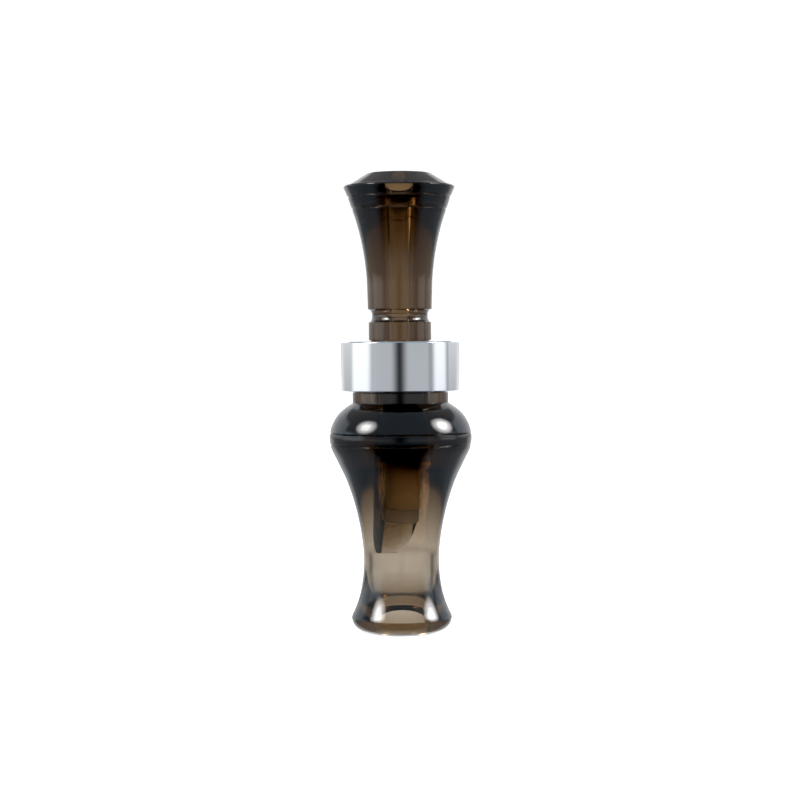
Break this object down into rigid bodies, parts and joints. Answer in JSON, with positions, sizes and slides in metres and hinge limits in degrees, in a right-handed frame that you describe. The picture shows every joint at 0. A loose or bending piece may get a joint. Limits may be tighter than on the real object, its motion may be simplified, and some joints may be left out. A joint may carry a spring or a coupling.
{
  "type": "duck call",
  "caption": "Double-reed duck call: clear turned barrel with a metal band, and a flared insert carrying the tone board, reeds and wedge.",
  "frame": {"origin": "middle of the mouth face, the ring that the call stands on", "axes": "+Z along the call's axis from the mouth face to the exhaust; the picture looks along +Y with +X to the right"},
  "size_m": [0.0382, 0.0382, 0.1225],
  "materials": {
    "smoke_plastic": "polished clear smoke-brown plastic",
    "polished_metal": "mirror polished with faint turning lines",
    "black_rubber": "matt",
    "clear_film": "frosted polyester film",
    "amber_film": "amber polyester film"
  },
  "bodies": {
    "barrel": {"barrel": "smoke_plastic", "band": "polished_metal"},
    "o_rings": {"front_o_ring": "black_rubber", "rear_o_ring": "black_rubber"},
    "insert": {"insert": "smoke_plastic"},
    "wedge": {"wedge": "black_rubber"},
    "lower_reed": {"lower_reed": "clear_film"},
    "upper_reed": {"upper_reed": "amber_film"}
  },
  "joints": [
    {"name": "insert_slide", "type": "slide", "parent": "barrel", "child": "o_rings", "axis": [0, 0, 1], "range_m": [0, 0.06]},
    {"name": "insert_turn", "type": "hinge", "parent": "o_rings", "child": "insert", "pos_m": [0, 0, 0.0738], "axis": [0, 0, 1], "continuous": true},
    {"name": "wedge_slide", "type": "slide", "parent": "insert", "child": "wedge", "axis": [0, 0, -1], "range_m": [0, 0.042]},
    {"name": "lower_reed_flex", "type": "hinge", "parent": "wedge", "child": "lower_reed", "pos_m": [0.00031, -0.00037, 0.048], "axis": [0.766, 0.6428, 0], "range_deg": [0, 0.8], "stiffness_Nm_per_rad": 0.012},
    {"name": "upper_reed_flex", "type": "hinge", "parent": "wedge", "child": "upper_reed", "pos_m": [0.0007, -0.00083, 0.048], "axis": [0.766, 0.6428, 0], "range_deg": [0, 0.8], "stiffness_Nm_per_rad": 0.006}
  ],
  "couplings": [
    {"joint": "upper_reed_flex", "follows": "lower_reed_flex", "ratio": 1}
  ]
}
